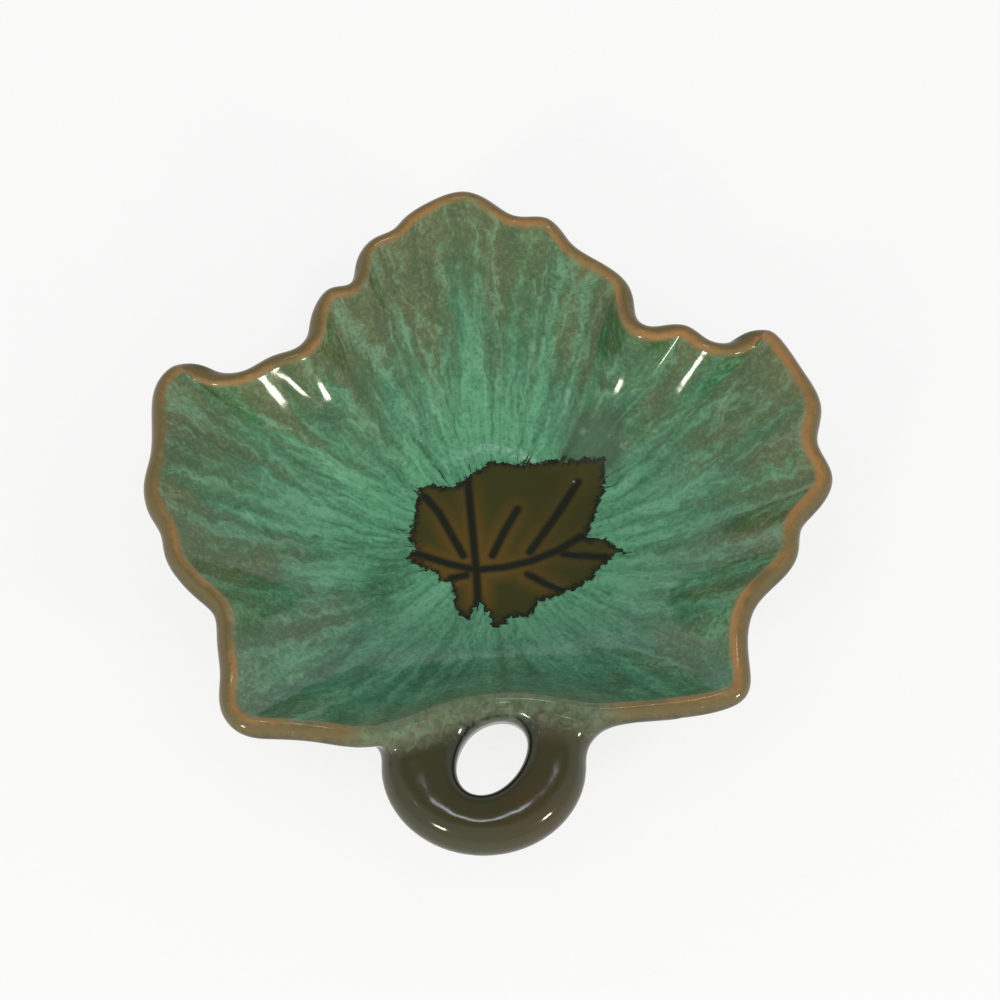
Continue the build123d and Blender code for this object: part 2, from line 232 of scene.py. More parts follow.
class GlazeLook(bpy.types.PropertyGroup):
    """Colours of the fired glazes."""

    mint: colour("Mint", "The green glaze where it pools thick round the floor", "#60a67e")
    teal: colour("Teal", "The bluer green towards the stem", "#548a78")
    green: colour("Green", "The green glaze on the wall", "#4c8661")
    leaf: colour("Leaf green", "The green glaze where it thins on the upper wall", "#527046")
    olive: colour("Olive", "The green glaze at its thinnest, inside the lip", "#6c7046")
    pale: colour("Pale flow", "Fibres of pale crystals in the flow", "#86c09c")
    deep: colour("Deep flow", "Clear dark green between the fibres", "#285638")
    moss: colour("Moss", "Where the green ran thin beside the window", "#3a5031")
    bare: colour("Bare patch", "Patches where the brown shows through", "#5c6742")
    haze: colour("Haze", "Where the pale glaze thins out over the stem", "#74785c")
    copper: colour("Copper", "The line where the glaze breaks over the lip", "#ad7d47")
    tan: colour("Tan", "The outside of the lip", "#70623c")
    brown: colour("Olive brown", "The outside and the loop", "#3a3b1f")
    # Dark olive is painted shade in and round the finger hole, not a pool of the glaze
    dark: colour("Dark olive", "The same glaze where it pools", "#22271a")
    rust: colour("Rust", "Red-brown clouds in the olive brown", "#47381d")
    amber: colour("Amber", "The clear glaze over the floor", "#3a3b0c")
    ember: colour("Ember", "Where the amber runs thin beside the veins", "#6a4e14")
    # Torn edge is partly the glaze's own dark edge and partly painted shade that a raised green edge
    # would cast on the amber
    torn: colour("Torn edge", "The dark line round the amber", "#15150a")
    vein: colour("Vein", "The deep pool in the veins", "#121906")
    clay: colour("Clay", "The bare fired clay of the foot", "#a9764e")


class StageLook(bpy.types.PropertyGroup):
    """The stage and its light."""

    sky: number("Sky", "Strength of the even light", 0.94, min=0)
    lamp: number("Lamp", "Power of the larger lamps", 3.2, min=0, unit="POWER")
    sparkle: number("Sparkle", "Power of the small lamps", 0.045, min=0, unit="POWER")
    floor: colour("Floor", "The table", "#ffffff")
    warm: colour("Warm light", "Colour of the lamps", "#fffbe6")
    cool: colour("Cool light", "Colour of the ceiling window", "#e9f2ff")


def periodic_line(points, samples):
    """Points evenly spaced along a smooth closed curve through the given ones."""
    points = np.array(points, float)
    count = len(points)
    runs = np.roll(points, -1, 0) - points
    gaps = np.linalg.norm(runs, axis=1)
    matrix = np.zeros((count, count))
    for i in range(count):
        matrix[i, i - 1] += gaps[i - 1]
        matrix[i, i] += 2 * (gaps[i - 1] + gaps[i])
        matrix[i, (i + 1) % count] += gaps[i]
    slopes = runs / gaps[:, None]
    bends = np.linalg.solve(matrix, 6 * (slopes - np.roll(slopes, 1, 0)))
    fine = []
    for i in range(count):
        t = np.linspace(0, 1, RIM_STEPS, endpoint=False)[:, None]
        j = (i + 1) % count
        bow = ((1 - t) ** 3 - (1 - t)) * bends[i] + (t**3 - t) * bends[j]
        fine.append((1 - t) * points[i] + t * points[j] + bow * gaps[i] ** 2 / 6)
    fine = np.concatenate(fine + [fine[0][:1]])
    along = np.concatenate([[0], np.cumsum(np.linalg.norm(np.diff(fine, axis=0), axis=1))])
    wanted = np.linspace(0, along[-1], samples, endpoint=False)
    return np.stack([np.interp(wanted, along, fine[:, k]) for k in range(2)], 1)


class Wall:
    """The leaf's middle surface: a flat floor that rises to the toothed rim."""

    def __init__(self, shape):
        self.shape = shape
        reach_x = shape.leaf_width / 2 - shape.lip_radius
        reach_y = shape.tip_reach - shape.lip_radius
        self.rim = periodic_line(np.array(RIM_SHARES) * (reach_x, reach_y), AROUND)
        step = AROUND // PACKED_AROUND
        turned = [
            np.roll(self.rim, -k * step, 0) for k in range(-LOBE_SAMPLES, LOBE_SAMPLES + 1)
        ]
        self.lobes = np.mean(turned, 0)
        self.centre = np.array((shape.floor_x, shape.floor_y))
        away = self.lobes - self.centre
        reaches = np.linalg.norm(away, axis=1)
        self.floor = self.centre + away / reaches[:, None] * shape.floor_radius
        dip = shape.sinus_dip * (reaches.max() - reaches) / (reaches.max() - reaches.min())
        self.rim_z = shape.rim_height - shape.lip_radius - dip

    def middle(self, up):
        """The middle surface at a level: -1 is the floor's centre, 0 its edge and 1 the rim."""
        if up <= 0:
            flat = self.centre + (self.floor - self.centre) * (1 + up)
            return np.column_stack([flat, np.full(AROUND, self.shape.floor_z)])
        edge = self.lobes + (self.rim - self.lobes) * up**TOOTH_FADE_POWER
        flat = self.floor + (edge - self.floor) * up
        rise = (self.rim_z - self.shape.floor_z) * up**WALL_CURVE_POWER
        return np.column_stack([flat, self.shape.floor_z + rise])

    def directions(self, up):
        """The normal into the dish and the direction up the wall."""
        if up <= 0:
            away = (self.floor - self.centre) / self.shape.floor_radius
            upright = np.tile((0.0, 0.0, 1.0), (AROUND, 1))
            return upright, np.column_stack([away, np.zeros(AROUND)])
        here = self.middle(up)
        climb = here - self.middle(up - DIRECTION_STEP)
        across = np.roll(here, -1, 0) - np.roll(here, 1, 0)
        normal = np.cross(climb, across)
        normal /= np.linalg.norm(normal, axis=1)[:, None]
        normal *= np.where(normal[:, 2:] < 0, -1, 1)
        climb -= normal * (climb * normal).sum(1)[:, None]
        return normal, climb / np.linalg.norm(climb, axis=1)[:, None]

    def row(self, up, degrees):
        """A closed row of a coat: 90 degrees is the inside, -90 the outside, between is the lip."""
        turn = math.radians(degrees)
        normal, climb = self.directions(up)
        away = normal * math.sin(turn) + climb * math.cos(turn)
        return self.middle(up) + away * self.shape.lip_radius

    def upper_tree(self):
        """The upper part of the middle surface, to find what is near it."""
        middle = np.array([self.middle(up) for up in np.linspace(0.4, 1, 60)])
        sheet = []
        for low in range(0, (len(middle) - 1) * AROUND, AROUND):
            for i in range(AROUND):
                j = (i + 1) % AROUND
                sheet.append((low + i, low + AROUND + i, low + AROUND + j, low + j))
        return BVHTree.FromPolygons([Vector(p) for p in middle.reshape(-1, 3)], sheet)


def polygon_distance(points, outline):
    """How far flat points are from a closed outline: below zero inside."""
    nearest = np.full(len(points), 1e9)
    inside = np.zeros(len(points), bool)
    for a, b in zip(outline, np.roll(outline, -1, 0)):
        run = b - a
        share = np.clip((points - a) @ run / (run @ run), 0, 1)
        nearest = np.minimum(nearest, np.linalg.norm(points - a - share[:, None] * run, axis=1))
        crosses = (a[1] > points[:, 1]) != (b[1] > points[:, 1])
        rise = run[1] if run[1] else 1e-12
        inside ^= crosses & (points[:, 0] < a[0] + (points[:, 1] - a[1]) * run[0] / rise)
    return np.where(inside, -nearest, nearest)


def new_object(name, data):
    made = bpy.data.objects.new(name, data)
    bpy.context.scene.collection.objects.link(made)
    return made


def mesh_object(name, points, faces):
    mesh = bpy.data.meshes.new(name)
    mesh.from_pydata([tuple(p) for p in points], [], faces)
    mesh.validate()
    return new_object(name, mesh)


def rows_mesh(name, rows, flipped):
    """A closed-up stack of rows, with the first row drawn in to a single point."""
    points = np.concatenate([rows[0].mean(0)[None]] + rows[1:])
    faces = []
    for i in range(AROUND):
        j = (i + 1) % AROUND
        faces.append((0, 1 + i, 1 + j))
        for k in range(len(rows) - 2):
            low, high = 1 + k * AROUND, 1 + (k + 1) * AROUND
            faces.append((low + i, high + i, high + j, low + j))
    if flipped:
        faces = [face[::-1] for face in faces]
    return mesh_object(name, points, faces)


def store(made, name, values):
    """Keeps one value or one vector for each point of a mesh, for the materials to read."""
    values = np.asarray(values, np.float32)
    kind, key = ("FLOAT", "value") if values.ndim == 1 else ("FLOAT_VECTOR", "vector")
    attribute = made.data.attributes.new(name, kind, "POINT")
    attribute.data.foreach_set(key, values.ravel())


def read(made, name, width=1):
    attribute = made.data.attributes[name]
    values = np.zeros(len(made.data.vertices) * width, np.float32)
    attribute.data.foreach_get("value" if width == 1 else "vector", values)
    return values.reshape(-1, width) if width > 1 else values


def of_points(made, key):
    """The places ("co") or the normals ("normal") of a mesh's points."""
    values = np.zeros(len(made.data.vertices) * 3, np.float32)
    made.data.vertices.foreach_get(key, values)
    return values.reshape(-1, 3)


def flow_rows(rows, inside):
    """How far each point of a coat is from the lip's split, and its place in the glaze's flow."""
    steps = [np.linalg.norm(b - a, axis=1) for a, b in zip(rows, rows[1:])]
    left = np.cumsum(steps[::-1], 0)[::-1]
    from_lip = np.concatenate([left, np.zeros((1, AROUND))]) * (1 if inside else -1)
    turns = np.arange(AROUND) * math.tau / AROUND
    ring = np.column_stack([np.cos(turns), np.sin(turns)]) * FLOW_RING
    flows = [np.column_stack([ring, line]) for line in from_lip]
    firsts = [from_lip[0][:1], flows[0][:1]]
    return np.concatenate(firsts[:1] + list(from_lip[1:])), np.concatenate(firsts[1:] + flows[1:])


def add(tree, kind, inputs=(), **settings):
    """Adds a node with its settings. An input is a value or another node's output."""
    made = tree.nodes.new(kind)
    for key, value in settings.items():
        setattr(made, key, value)
    for key, value in dict(inputs).items():
        if isinstance(value, bpy.types.NodeSocket):
            tree.links.new(value, made.inputs[key])
        else:
            made.inputs[key].default_value = value
    return made


def bake(made):
    """Turns what an object's modifiers show into its mesh."""
    graph = bpy.context.evaluated_depsgraph_get()
    mesh = bpy.data.meshes.new_from_object(
        made.evaluated_get(graph), preserve_all_data_layers=True, depsgraph=graph
    )
    made.modifiers.clear()
    made.data = mesh


def grow(made, tree, **values):
    """Leaves the object's mesh as a node tree makes it."""
    modifier = made.modifiers.new("Grown", "NODES")
    modifier.node_group = tree
    sockets = {s.name: s.identifier for s in tree.interface.items_tree if s.in_out == "INPUT"}
    for key, value in values.items():
        modifier[sockets[key.capitalize()]] = value
    bpy.context.view_layer.update()
    bake(made)


def vein_lines(shape):
    """The veins as one curve object, on the surface of the glaze."""
    line = bpy.data.curves.new("vein_lines", "CURVE")
    line.dimensions = "3D"
    level = shape.floor_z + shape.lip_radius
    for shares in VEIN_SHARES:
        spline = line.splines.new("POLY")
        spline.points.add(len(shares) - 1)
        for point, (x, y) in zip(spline.points, shares):
            flat = [(start + VEIN_REACH * share) * MM for start, share in zip(VEIN_NODE, (x, y))]
            point.co = (*flat, level, 1)
    return new_object("vein_lines", line)


def shade_smooth(made, normals=None):
    made.data.polygons.foreach_set("use_smooth", [True] * len(made.data.polygons))
    if normals is not None:
        made.data.normals_split_custom_set_from_vertices(normals)


def part_of(source, name, wanted):
    """A new object with only the wanted faces of another, which keeps its values and shading."""
    mesh = source.data
    faces = [tuple(p.vertices) for p, w in zip(mesh.polygons, wanted) if w]
    used = np.unique([v for face in faces for v in face])
    order = np.full(len(mesh.vertices), -1)
    order[used] = np.arange(len(used))
    points = of_points(source, "co")[used]
    made = mesh_object(name, points, [tuple(int(order[v]) for v in face) for face in faces])
    for key in SINGLE_VALUES:
        store(made, key, read(source, key)[used])
    store(made, "flow", read(source, "flow", 3)[used])
    shade_smooth(made, of_points(source, "normal")[used])
    for material in mesh.materials:
        made.data.materials.append(material)
    return made


def hand_over(made, slot, *nodes):
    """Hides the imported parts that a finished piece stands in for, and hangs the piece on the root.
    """
    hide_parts(*nodes)
    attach(made, "root")


def common_values(made, wall, from_lip, flow):
    """Values that every coat carries, which place the colours of the glaze."""
    spots = of_points(made, "co")[:, :2].astype(float)
    store(made, "lip", from_lip)
    store(made, "flow", flow)
    window = (np.array(WINDOW_SHARES) * WINDOW_REACH + WINDOW_CENTRE) * MM
    store(made, "window", -polygon_distance(spots, window))
    away = spots - wall.centre
    angles = np.arctan2(away[:, 1], away[:, 0])
    rim = wall.rim - wall.centre
    rim_angles = np.arctan2(rim[:, 1], rim[:, 0])
    order = np.argsort(rim_angles)
    reaches = np.linalg.norm(rim, axis=1)
    outer = np.interp(angles, rim_angles[order], reaches[order], period=math.tau)
    store(made, "reach", np.linalg.norm(away, axis=1) / outer)
    across = np.clip((STEM_HALF_WIDTH - np.abs(spots[:, 0] - STEM_X)) / STEM_FADE, 0, 1)
    store(made, "stem", across * np.clip((STEM_Y - spots[:, 1]) / STEM_FADE, 0, 1))
    store(made, "hole", hole_distance(spots, wall, bpy.context.scene.dish_loop))


def surface_net(values, low, step):
    """A closed mesh where a field on a grid crosses zero, with its faces outwards."""
    inside = values < 0
    total = np.zeros(tuple(n - 1 for n in values.shape) + (3,))
    count = np.zeros(total.shape[:3])
    for axis in range(3):
        low_end = np.moveaxis(values, axis, 0)[:-1]
        high_end = np.moveaxis(values, axis, 0)[1:]
        crossed = (low_end < 0) != (high_end < 0)
        share = np.where(crossed, low_end / np.where(crossed, low_end - high_end, 1), 0)
        crossed, share = np.moveaxis(crossed, 0, axis), np.moveaxis(share, 0, axis)
        for da in (0, 1):
            for db in (0, 1):
                others = [k for k in range(3) if k != axis]
                cut = [slice(None)] * 3
                cut[others[0]] = slice(da, da + total.shape[others[0]])
                cut[others[1]] = slice(db, db + total.shape[others[1]])
                hit, at = crossed[tuple(cut)], share[tuple(cut)]
                place = np.zeros(hit.shape + (3,))
                place[..., axis], place[..., others[0]], place[..., others[1]] = at, da, db
                total += place * hit[..., None]
                count += hit
    filled = count > 0
    order = np.full(filled.shape, -1)
    order[filled] = np.arange(filled.sum())
    cells = np.argwhere(filled)
    points = np.array(low) + (cells + total[filled] / count[filled][:, None]) * step
    faces = []
    for axis in range(3):
        others = [(axis + 1) % 3, (axis + 2) % 3]
        first = np.moveaxis(inside, axis, 0)[:-1]
        last = np.moveaxis(inside, axis, 0)[1:]
        edges = np.argwhere(np.moveaxis(first != last, 0, axis))
        for edge in edges:
            if min(edge[others[0]], edge[others[1]]) < 1:
                continue
            corners = []
            for da, db in ((1, 1), (0, 1), (0, 0), (1, 0)):
                cell = list(edge)
                cell[others[0]] -= da
                cell[others[1]] -= db
                corners.append(int(order[tuple(cell)]))
            faces.append(corners if inside[tuple(edge)] else corners[::-1])
    return points, faces


def rounded_slab(flat, height, thickness, top_round, low_round):
    """The distance to a round-edged slab, from a flat distance and the height above its top."""
    mid = height + thickness / 2
    radius = np.where(mid > 0, top_round, low_round)
    side = flat + radius
    rise = np.abs(mid) - thickness / 2 + radius
    outside = np.hypot(np.maximum(side, 0), np.maximum(rise, 0))
    return np.minimum(np.maximum(side, rise), 0) + outside - radius


def loop_seat(wall, loop):
    """Where the loop's plane starts: on the rim line at the stem, under the lowest lip."""
    near = wall.rim[wall.rim[:, 1] < wall.centre[1]]
    seat_y = near[np.argmin(np.abs(near[:, 0] - loop.centre_x)), 1]
    return seat_y, wall.shape.rim_height - wall.shape.sinus_dip - loop.below_rim


def loop_end(loop):
    """The end of the loop in its own tilted plane."""
    roll = loop.top_round * (math.cos(loop.tilt) + math.sin(loop.tilt) - 1)
    return -(loop.reach + roll) / math.cos(loop.tilt)


def hole_outline(loop, coat):
    """The slanted oval hole in the loop's own plane."""
    half_width, half_length = loop.hole_width / 2, loop.hole_length / 2
    reach = math.hypot(
        (half_length + coat) * math.cos(loop.hole_turn),
        (half_width + coat) * math.sin(loop.hole_turn),
    )
    turns = np.linspace(0, math.tau, 60, endpoint=False)
    cosine, sine = math.cos(-loop.hole_turn), math.sin(-loop.hole_turn)
    oval = np.column_stack([half_width * np.cos(turns), half_length * np.sin(turns)])
    oval = oval @ np.array(((cosine, sine), (-sine, cosine)))
    return oval + (loop.hole_offset, loop_end(loop) + loop.hole_web + reach)


def hole_distance(spots, wall, loop):
    """How far flat points are outside the finger hole."""
    seat_y, _ = loop_seat(wall, loop)
    flat = (spots - (loop.centre_x, seat_y)) / (1, math.cos(loop.tilt))
    return polygon_distance(flat, hole_outline(loop, wall.shape.coat))


def tongue_outline(wall, loop, seat_y):
    """The loop's round tongue in its own plane, with its flared root, and the root's two ends."""
    middle_y = loop_end(loop) + loop.end_reach
    back = middle_y + loop.half_width + loop.root_step
    tongue = [
        (loop.half_width * math.cos(t), middle_y + loop.end_reach * math.sin(t))
        for t in np.linspace(math.pi, math.tau, 60)
    ]
    near = wall.rim[wall.rim[:, 1] < wall.centre[1]]
    flares, ends = {}, {}
    for side, radius in ((-1, loop.left_corner), (1, loop.right_corner)):
        x = loop.centre_x + side * (loop.half_width + radius)
        rim_y = near[np.argmin(np.abs(near[:, 0] - x)), 1]
        root = (rim_y - seat_y) / math.cos(loop.tilt) + loop.root_inset
        corner = min(radius, (root - middle_y) * LARGEST_CORNER_SHARE)
        bend = [
            (
                side * (loop.half_width + corner * (1 - math.cos(t))),
                root - corner * (1 - math.sin(t)),
            )
            for t in np.linspace(0, math.pi / 2, 12)
        ]
        ends[side] = side * (loop.half_width + corner + loop.root_step)
        beyond = ends[side] + side * ROOT_OVERRUN
        flares[side] = bend + [(beyond, root), (beyond, back)]
    return np.array(tongue + flares[1] + flares[-1][::-1]), ends


def loop_field(spots, wall, loop):
    """The distance to the loop's glazed surface, with its hole."""
    coat = wall.shape.coat
    seat_y, top = loop_seat(wall, loop)
    cosine, sine = math.cos(loop.tilt), math.sin(loop.tilt)
    x = spots[:, 0] - loop.centre_x
    y = (spots[:, 1] - seat_y) * cosine + (spots[:, 2] - top) * sine
    height = (spots[:, 2] - top) * cosine - (spots[:, 1] - seat_y) * sine - coat
    plan = np.column_stack([x, y])
    thickness = loop.thickness + 2 * coat
    outline, ends = tongue_outline(wall, loop, seat_y)
    flat = polygon_distance(plan, outline)
    hole = polygon_distance(plan, hole_outline(loop, coat))

    # The glaze bulges between the hole and the edge, and the root's ends are cut flat
    inner, outer = np.maximum(hole, 0), np.maximum(-flat, 0)
    share = (inner / np.maximum(inner + outer, 1 * MM)) ** CROWN_POWER
    height = height - np.where(height > -thickness / 2, loop.crown * 4 * share * (1 - share), 0)
    rounds = (loop.top_round + coat, loop.low_round + coat)
    outside = rounded_slab(flat - coat, height, thickness, *rounds)
    outside = np.maximum(outside, np.maximum(ends[-1] - coat - x, x - ends[1] - coat))
    bored = rounded_slab(-hole, height, thickness, HOLE_TOP_ROUND, HOLE_LOW_ROUND)
    return np.maximum(outside, bored)


# Kinds of steps in a node tree: a node, its settings, the sockets that it takes and what it gives
SUM = ("ShaderNodeMath", {"operation": "MULTIPLY_ADD"}, (0, 1, 2), 0)
PRODUCT = ("ShaderNodeMath", {"operation": "MULTIPLY"}, (0, 1), 0)
LESS = ("ShaderNodeMath", {"operation": "SUBTRACT"}, (0, 1), 0)
SIZE = ("ShaderNodeMath", {"operation": "ABSOLUTE"}, (0,), 0)
WAVER = ("ShaderNodeVectorMath", {"operation": "MULTIPLY_ADD"}, (0, 1, 2), 0)
STRETCH = ("ShaderNodeVectorMath", {"operation": "MULTIPLY"}, (0, 1), 0)
DISTANCE = ("ShaderNodeVectorMath", {"operation": "DISTANCE"}, (0, 1), "Value")
NOISE = ("ShaderNodeTexNoise", {}, ("Vector", "Scale", "Detail", "Distortion"), 0)
NOISE_COLOUR = ("ShaderNodeTexNoise", {}, ("Vector", "Scale", "Detail"), "Color")
RANGE = ("ShaderNodeMapRange", {}, ("Value", "From Min", "From Max", "To Min", "To Max"), 0)
SOFT_RANGE = (RANGE[0], {"interpolation_type": "SMOOTHSTEP"}, *RANGE[2:])
MIX = ("ShaderNodeMix", {"data_type": "RGBA"}, (0, 6, 7), 2)
BUMP = ("ShaderNodeBump", {}, ("Height", "Distance", "Strength"), 0)
SPLIT = ("ShaderNodeSeparateXYZ", {}, (0,), "X")


def layer(name, under, over, source, *limits):
    """Two steps: how far a tone covers what is under it, and the two mixed."""
    return ("share", RANGE, source, *limits), (name, MIX, "share", under, over)


# The glaze, step by step: what a step is called, its kind, and its inputs, which are numbers or
# earlier steps. Scales are per metre: a noise of scale 100 has features of about 10 mm.
#
# It is a reactive stoneware glaze, poured over an iron-brown one and fired until it ran. It is
# glass with no polish marks, so it reflects sharply. Where it pooled it is thick, pale and full of
# fibres drawn down the wall, and towards the lip it is thin and the brown shows through.
GLAZE_STEPS = (
    # What the coats carry, and the place on the dish
    *[(key, ("ShaderNodeAttribute", {"attribute_name": key}, (), "Fac")) for key in SINGLE_VALUES],
    ("flow", ("ShaderNodeAttribute", {"attribute_name": "flow"}, (), "Vector")),
    ("x", SPLIT, "place"),
    ("y", (*SPLIT[:3], "Y"), "place"),
    # Tongues of 10 mm, streaks of 3 mm and fibres of 0.7 mm, which waver on their way down the wall
    ("waves", NOISE_COLOUR, "flow", 200, 1),
    ("bent", WAVER, "waves", (6 * MM, 6 * MM, 6 * MM), "flow"),
    ("wide", STRETCH, "bent", (1, 1, 0.28)),
    ("long", STRETCH, "bent", (1, 1, 0.12)),
    ("short", STRETCH, "bent", (1, 1, 0.25)),
    ("tongues", NOISE, "wide", 80, 3, 0.6),
    ("streaks", NOISE, "long", 300, 3),
    ("fibres", NOISE, "short", 1300, 3, 1.2),
    ("clouds", NOISE, "place", 48, 2),
    ("curds", NOISE, "place", 420, 3, 1.2),
    ("specks", NOISE, "place", 1100, 2),
    ("ripple", NOISE, "place", 160, 1),
    # From mint through green to olive as the glaze thins towards the lip, later along a tongue
    ("drift", SUM, "tongues", -1.0, "reach"),
    ("thin", SUM, "streaks", -0.22, "drift"),
    ("thin", SUM, "thin", 1.0, 0.61),
    *layer("glaze", "mint tone", "green tone", "thin", 0.4, 0.66),
    *layer("glaze", "glaze", "leaf tone", "thin", 0.66, 0.86),
    *layer("glaze", "glaze", "olive tone", "thin", 0.86, 1.02),
    # Dark pools, brown patches on the upper wall, and a bluer green towards the stem
    *layer("glaze", "glaze", "deep tone", "clouds", 0.44, 0.34, 0, 0.5),
    ("patches", RANGE, "tongues", 0.5, 0.36, 0, 0.6),
    ("upper", RANGE, "reach", 0.5, 0.8),
    ("share", PRODUCT, "patches", "upper"),
    ("glaze", MIX, "share", "glaze", "bare tone"),
    *layer("glaze", "glaze", "teal tone", "y", -5 * MM, -45 * MM, 0, 0.4),
    # Pale fibres, the dark green between them, and specks of both
    ("mixed", SUM, "fibres", 0.5, "streaks"),
    ("mixed", SUM, "curds", 0.3, "mixed"),
    *layer("glaze", "glaze", "pale tone", "mixed", 0.9, 1.12, 0, 0.45),
    *layer("glaze", "glaze", "deep tone", "mixed", 0.9, 0.68, 0, 0.55),
    *layer("glaze", "glaze", "deep tone", "specks", 0.48, 0.3, 0, 0.35),
    *layer("glaze", "glaze", "pale tone", "specks", 0.54, 0.74, 0, 0.2),
    # A patch beside the window's upper right corner where the green ran thin
    ("spot", DISTANCE, "place", (26 * MM, 25 * MM, 9 * MM)),
    ("spot", SUM, "tongues", -22 * MM, "spot"),
    *layer("glaze", "glaze", "moss tone", "spot", 1 * MM, -5 * MM, 0, 0.75),
    # The olive brown of the outside and the loop, with rusty clouds and painted shade round the hole
    *layer("body", "brown tone", "rust tone", "clouds", 0.46, 0.66, 0, 0.6),
    *layer("body", "body", "dark tone", "hole", 3.2 * MM, 0.6 * MM),
    # The lip: tan outside, and on top a copper line that comes and goes and is wider to the right
    ("edge", SUM, "curds", 2 * MM, "lip"),
    ("edge", SUM, "edge", 1.0, -1 * MM),
    *layer("lipped", "body", "tan tone", "edge", -4.5 * MM, -2.5 * MM),
    *layer("rim", "glaze", "lipped", "edge", 1.5 * MM, -1.0 * MM),
    ("width", RANGE, "x", -70 * MM, 60 * MM, 0.45 * MM, 1.0 * MM),
    ("off", LESS, "edge", 0.2 * MM),
    ("off", SIZE, "off"),
    ("off", LESS, "off", "width"),
    ("line", RANGE, "off", 0.9 * MM, -0.7 * MM, 0, 0.9),
    ("broken", RANGE, "clouds", 0.38, 0.54, 0.25, 1),
    ("share", PRODUCT, "line", "broken"),
    ("rim", MIX, "share", "rim", "copper tone"),
    # At the stem the lip has neither: the loop's glaze runs up over it in a mottled haze
    *layer("stem_glaze", "glaze", "haze tone", "specks", 0.38, 0.6, 0.2, 0.9),
    ("run", SUM, "curds", 9 * MM, "lip"),
    *layer("stem_glaze", "stem_glaze", "body", "run", 3 * MM, -3 * MM),
    ("near_lip", RANGE, "lip", 14 * MM, 3 * MM),
    ("share", PRODUCT, "near_lip", "stem"),
    ("glaze", MIX, "share", "rim", "stem_glaze"),
    # The amber window: brighter beside the veins round their node, and dark in them
    ("near", DISTANCE, "place", (VEIN_NODE[0] * MM, VEIN_NODE[1] * MM, 7.5 * MM)),
    ("near", RANGE, "near", 24 * MM, 4 * MM, 0.2, 0.9),
    ("beside", RANGE, "vein", 5.0 * MM, 1.4 * MM),
    ("share", PRODUCT, "beside", "near"),
    ("amber", MIX, "share", "amber tone", "ember tone"),
    ("share", SOFT_RANGE, "vein", 1.7 * MM, 0.4 * MM),
    ("amber", MIX, "share", "amber", "vein tone"),
    # Its edge is torn, with dark threads that run out along the flow; its dark line is partly painted
    # shade
    ("threads", RANGE, "streaks", 0.39, 0.27, 0, 4.5 * MM),
    ("torn", SUM, "curds", 4 * MM, "window"),
    ("torn", SUM, "torn", 1.0, "threads"),
    *layer("amber", "torn tone", "amber", "torn", 2.2 * MM, 3.6 * MM),
    *layer("glaze", "glaze", "amber", "torn", 1.6 * MM, 2.0 * MM),
    # The pool over the floor is a little rough with its fibres, but not over the window, and the
    # thin glaze above is smooth
    ("height", PRODUCT, "ripple", 0.12 * MM),
    ("clear", RANGE, "window", -2 * MM, 1 * MM, 1, 0),
    ("grain", RANGE, "reach", 0.75, 0.5, 0, 0.03 * MM),
    ("grain", PRODUCT, "grain", "clear"),
    ("height", SUM, "mixed", "grain", "height"),
    ("grain", RANGE, "reach", 0.75, 0.5, 0, 0.06 * MM),
    ("grain", PRODUCT, "grain", "clear"),
    ("height", SUM, "curds", "grain", "height"),
    ("bump", BUMP, "height", 1.0, 1.0),
)

# Bisque stoneware, in the same way: fired clay with no glaze, matte, warm, with grit of about 1 mm
CLAY_STEPS = (
    ("grit", NOISE, "place", 900, 4),
    *layer("clay", "clay tone", "rust tone", "grit", 0.4, 0.7, 0, 0.5),
    ("height", PRODUCT, "grit", 0.1 * MM),
    ("bump", BUMP, "height", 1.0, 0.6),
)


def empty_tree(owner):
    """The node tree of a new material or world, with nothing in it."""
    owner.use_nodes = True
    owner.node_tree.nodes.clear()
    return owner.node_tree


def follow(tree, fields, steps):
    """Adds the nodes of a list of steps, and keeps what each gives under the step's name."""
    for name, (kind, settings, sockets, result), *given in steps:
        given = [fields[g] if isinstance(g, str) else g for g in given]
        fields[name] = add(tree, kind, zip(sockets, given), **settings).outputs[result]


def fired_material(name, steps, colour, roughness):
    """A new material from its steps, which can read the tones and the place."""
    look = bpy.context.scene.dish_glaze
    material = bpy.data.materials.new(name)
    tree = empty_tree(material)
    fields = {f"{key} tone": getattr(look, key) for key in GlazeLook.__annotations__}
    fields["place"] = add(tree, "ShaderNodeTexCoord").outputs["Object"]
    follow(tree, fields, steps)
    shader = add(
        tree, "ShaderNodeBsdfPrincipled",
        {
            "Base Color": fields[colour], "Roughness": roughness, "IOR": 1.5,
            "Normal": fields["bump"],
        },
    )
    add(tree, "ShaderNodeOutputMaterial", {"Surface": shader.outputs[0]})
    return material


def glaze_material(name):
    return fired_material(name, GLAZE_STEPS, "glaze", 0.1)


# The relief over the veins, in the same way: how far a point is from one, and how it sinks
RELIEF_STEPS = (
    ("object", ("GeometryNodeObjectInfo", {}, ("Object",), "Geometry"), "Veins"),
    ("lines", ("GeometryNodeCurveToMesh", {}, ("Curve",), 0), "object"),
    ("near", ("GeometryNodeProximity", {"target_element": "EDGES"}, (0,), "Distance"), "lines"),
    ("half", PRODUCT, "Width", GROOVE_SHARE),
    ("groove", SOFT_RANGE, "near", 0.0, "half", 1.0, 0.0),
    ("depth", PRODUCT, "groove", "Depth"),
    ("down", PRODUCT, "depth", -1.0),
    ("normal", ("GeometryNodeInputNormal", {}, (), 0)),
    ("move", ("ShaderNodeVectorMath", {"operation": "SCALE"}, (0, "Scale"), 0), "normal", "down"),
)


